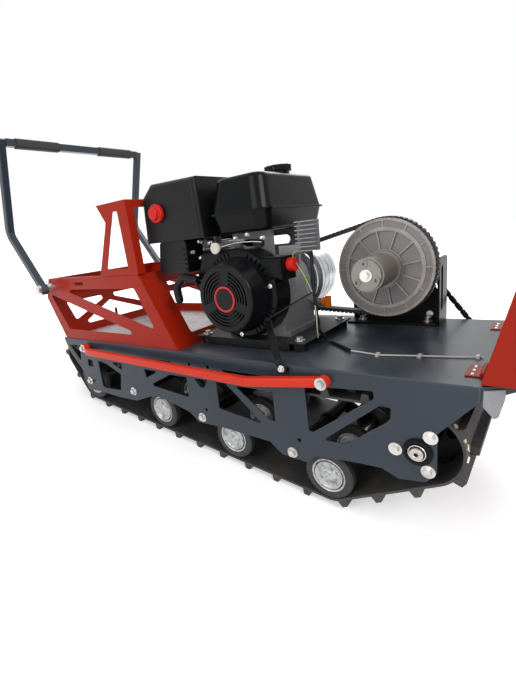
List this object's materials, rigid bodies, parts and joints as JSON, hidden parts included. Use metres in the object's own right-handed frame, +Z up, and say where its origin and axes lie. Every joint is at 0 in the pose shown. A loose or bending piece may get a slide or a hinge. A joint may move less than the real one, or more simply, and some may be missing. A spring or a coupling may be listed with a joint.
{
  "type": "tracked snow tug",
  "caption": "Walk-behind tracked snow tug: rubber track under a slate deck, red load basket, open horizontal-shaft engine, belt and chain drive, folding handle, hood swung open.",
  "frame": {"origin": "bottom centre of the parked vehicle's bounding box, on the ground", "axes": "+X forward, +Y to the vehicle's left, +Z up; the deck rises 6.37 degrees towards +X"},
  "size_m": [2.2974, 0.643, 1.2843],
  "materials": {
    "bar_red": "gloss orange-red powder coat",
    "belt_rubber": "cogged black rubber",
    "black_plastic": "grained black plastic",
    "black_steel": "black paint",
    "cast_alloy": "sand-cast alloy",
    "chain_steel": "oiled steel",
    "clutch_alloy": "turned alloy clutch bell",
    "engine_black": "satin black enamel",
    "floor_sheet": "pale galvanised sheet",
    "pulley_steel": "turned steel, lightly stained",
    "red_paint": "semi-gloss red powder coat",
    "red_plastic": "moulded red plastic",
    "roller_black": "black tyre on a silver hub",
    "slate_paint": "satin slate-grey powder coat",
    "track_rubber": "dusty moulded black rubber",
    "yellow_zinc": "yellow zinc plate",
    "zinc": "bright zinc plate"
  },
  "bodies": {
    "chassis": {"air_box": "black_plastic", "basket_floor": "floor_sheet", "basket_front": "red_paint", "basket_rear": "red_paint", "basket_sides": "red_paint", "bearings": "black_steel", "blower_housing": "engine_black", "carburettor": "cast_alloy", "deck": "slate_paint", "drive_axle": "yellow_zinc", "drive_belt": "belt_rubber", "drive_chain": "chain_steel", "driven_pulley": "pulley_steel", "driver_pulley": "clutch_alloy", "engine_block": "cast_alloy", "engine_knobs": "red_plastic", "engine_mounts": "black_steel", "fuel_tank": "engine_black", "handle_pivots": "zinc", "hood_hinges": "red_paint", "idler": "roller_black", "jackshaft": "zinc", "muffler": "engine_black", "nose": "slate_paint", "nose_tabs": "zinc", "plate_bolts": "zinc", "portal": "red_paint", "recoil_cover": "engine_black", "rectifier": "cast_alloy", "road_rollers": "roller_black", "shaft_bracket": "black_steel", "side_bars": "bar_red", "side_plate_left": "slate_paint", "side_plate_right": "slate_paint", "sprockets": "chain_steel", "starter_grip": "black_plastic", "strut": "black_steel", "swing_arms": "black_steel", "tow_hitch": "black_steel", "track": "track_rubber", "wiring": "belt_rubber"},
    "hood": {"headlight": "black_plastic", "hood": "red_paint"},
    "handle": {"handle": "slate_paint", "handle_grips": "belt_rubber"}
  },
  "joints": [
    {"name": "hood_hinge", "type": "hinge", "parent": "chassis", "child": "hood", "pos_m": [0.53407, 0, 0.42815], "axis": [0, 1, 0], "range_deg": [-104.6, 0]},
    {"name": "handle_pivot", "type": "hinge", "parent": "chassis", "child": "handle", "pos_m": [-0.96307, 0, 0.46326], "axis": [0, 1, 0], "range_deg": [-30, 45]}
  ]
}
